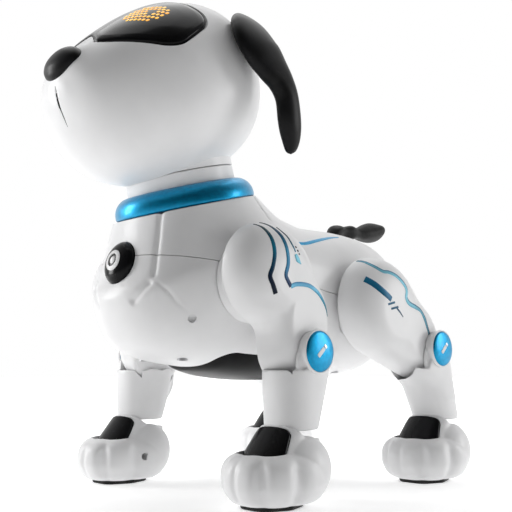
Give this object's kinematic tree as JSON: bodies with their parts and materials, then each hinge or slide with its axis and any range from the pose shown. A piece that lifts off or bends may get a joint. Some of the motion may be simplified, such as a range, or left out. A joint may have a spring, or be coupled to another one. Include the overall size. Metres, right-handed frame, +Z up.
{
  "type": "robot dog toy",
  "caption": "White robot dog toy with a black visor, hanging ears, a blue collar and hinged legs that stand on flat paw pads.",
  "frame": {"origin": "on the ground, under the middle of the overall length and width", "axes": "+Z up; the dog faces -Y; the dog's left side is +X"},
  "size_m": [0.1674, 0.267, 0.2603],
  "materials": {
    "white_plastic": "glossy",
    "black_gloss": "glossy",
    "black_satin": "satin",
    "black_rubber": "matte",
    "metallic_blue": "metallic lacquer",
    "steel": "ground",
    "motor_can": "satin",
    "circuit_board": "satin",
    "battery_wrap": "satin",
    "led_yellow": "lit"
  },
  "bodies": {
    "body": {"body_upper_shell": "white_plastic", "body_lower_shell": "white_plastic", "collar": "metallic_blue", "neck_sleeve": "white_plastic", "battery_door": "black_gloss", "battery_pack": "battery_wrap", "speaker": "black_satin", "main_board": "circuit_board", "neck_motor": "motor_can", "case_screws": "steel", "front_left_hip_motor": "motor_can", "front_right_hip_motor": "motor_can", "rear_left_hip_motor": "motor_can", "rear_right_hip_motor": "motor_can"},
    "head": {"head_front_shell": "white_plastic", "head_rear_shell": "white_plastic", "visor": "black_gloss", "led_board": "led_yellow", "nose": "black_gloss", "neck_shaft": "steel"},
    "left_ear": {"ear_left": "black_satin"},
    "right_ear": {"ear_right": "black_satin"},
    "tail": {"tail": "black_rubber"},
    "chest_button": {"chest_button": "black_gloss"},
    "power_switch": {"power_switch": "black_satin"},
    "front_left_upper_leg": {"front_left_upper_leg_shell": "white_plastic", "front_left_upper_leg_plate": "white_plastic"},
    "front_left_lower_leg": {"front_left_lower_leg": "white_plastic", "front_left_knee_pin": "steel", "front_left_knee_disc": "metallic_blue", "front_left_paw": "white_plastic", "front_left_paw_cap": "black_gloss", "front_left_paw_pad": "black_rubber"},
    "front_right_upper_leg": {"front_right_upper_leg_shell": "white_plastic", "front_right_upper_leg_plate": "white_plastic"},
    "front_right_lower_leg": {"front_right_lower_leg": "white_plastic", "front_right_knee_pin": "steel", "front_right_knee_disc": "metallic_blue", "front_right_paw": "white_plastic", "front_right_paw_cap": "black_gloss", "front_right_paw_pad": "black_rubber"},
    "rear_left_upper_leg": {"rear_left_upper_leg_shell": "white_plastic", "rear_left_upper_leg_plate": "white_plastic"},
    "rear_left_lower_leg": {"rear_left_lower_leg": "white_plastic", "rear_left_knee_pin": "steel", "rear_left_knee_disc": "metallic_blue", "rear_left_paw": "white_plastic", "rear_left_paw_cap": "black_gloss", "rear_left_paw_pad": "black_rubber"},
    "rear_right_upper_leg": {"rear_right_upper_leg_shell": "white_plastic", "rear_right_upper_leg_plate": "white_plastic"},
    "rear_right_lower_leg": {"rear_right_lower_leg": "white_plastic", "rear_right_knee_pin": "steel", "rear_right_knee_disc": "metallic_blue", "rear_right_paw": "white_plastic", "rear_right_paw_cap": "black_gloss", "rear_right_paw_pad": "black_rubber"}
  },
  "joints": [
    {"name": "head_turn", "type": "hinge", "parent": "body", "child": "head", "pos_m": [0, -0.0516, 0.16936], "axis": [0, -0.2756, 0.9613], "range_deg": [-40, 40]},
    {"name": "left_ear_swing", "type": "hinge", "parent": "head", "child": "left_ear", "pos_m": [0.048, -0.05044, 0.24147], "axis": [1, 0, 0], "range_deg": [-12, 7]},
    {"name": "right_ear_swing", "type": "hinge", "parent": "head", "child": "right_ear", "pos_m": [-0.048, -0.05044, 0.24147], "axis": [1, 0, 0], "range_deg": [-12, 7]},
    {"name": "tail_wag", "type": "hinge", "parent": "body", "child": "tail", "pos_m": [0, 0.0895, 0.15], "axis": [0, 0, 1], "range_deg": [-25, 25]},
    {"name": "chest_button_press", "type": "slide", "parent": "body", "child": "chest_button", "axis": [0, 0.9744, -0.225], "range_m": [0, 0.0012], "stiffness_N_per_m": 500, "springref_m": -0.0008},
    {"name": "power_switch_slide", "type": "slide", "parent": "body", "child": "power_switch", "axis": [0, 1, 0], "range_m": [0, 0.002]},
    {"name": "front_left_hip", "type": "hinge", "parent": "body", "child": "front_left_upper_leg", "pos_m": [0.0503, -0.042, 0.108], "axis": [1, 0, 0], "range_deg": [-40, 28]},
    {"name": "front_left_knee", "type": "hinge", "parent": "front_left_upper_leg", "child": "front_left_lower_leg", "pos_m": [0.0615, -0.0245, 0.0725], "axis": [1, 0, 0], "range_deg": [-20, 20]},
    {"name": "front_right_hip", "type": "hinge", "parent": "body", "child": "front_right_upper_leg", "pos_m": [-0.0503, -0.042, 0.108], "axis": [1, 0, 0], "range_deg": [-40, 28]},
    {"name": "front_right_knee", "type": "hinge", "parent": "front_right_upper_leg", "child": "front_right_lower_leg", "pos_m": [-0.0615, -0.0245, 0.0725], "axis": [1, 0, 0], "range_deg": [-20, 20]},
    {"name": "rear_left_hip", "type": "hinge", "parent": "body", "child": "rear_left_upper_leg", "pos_m": [0.0503, 0.0475, 0.1], "axis": [1, 0, 0], "range_deg": [-40, 40]},
    {"name": "rear_left_knee", "type": "hinge", "parent": "rear_left_upper_leg", "child": "rear_left_lower_leg", "pos_m": [0.0615, 0.085, 0.076], "axis": [1, 0, 0], "range_deg": [-20, 20]},
    {"name": "rear_right_hip", "type": "hinge", "parent": "body", "child": "rear_right_upper_leg", "pos_m": [-0.0503, 0.0475, 0.1], "axis": [1, 0, 0], "range_deg": [-40, 40]},
    {"name": "rear_right_knee", "type": "hinge", "parent": "rear_right_upper_leg", "child": "rear_right_lower_leg", "pos_m": [-0.0615, 0.085, 0.076], "axis": [1, 0, 0], "range_deg": [-20, 20]}
  ]
}
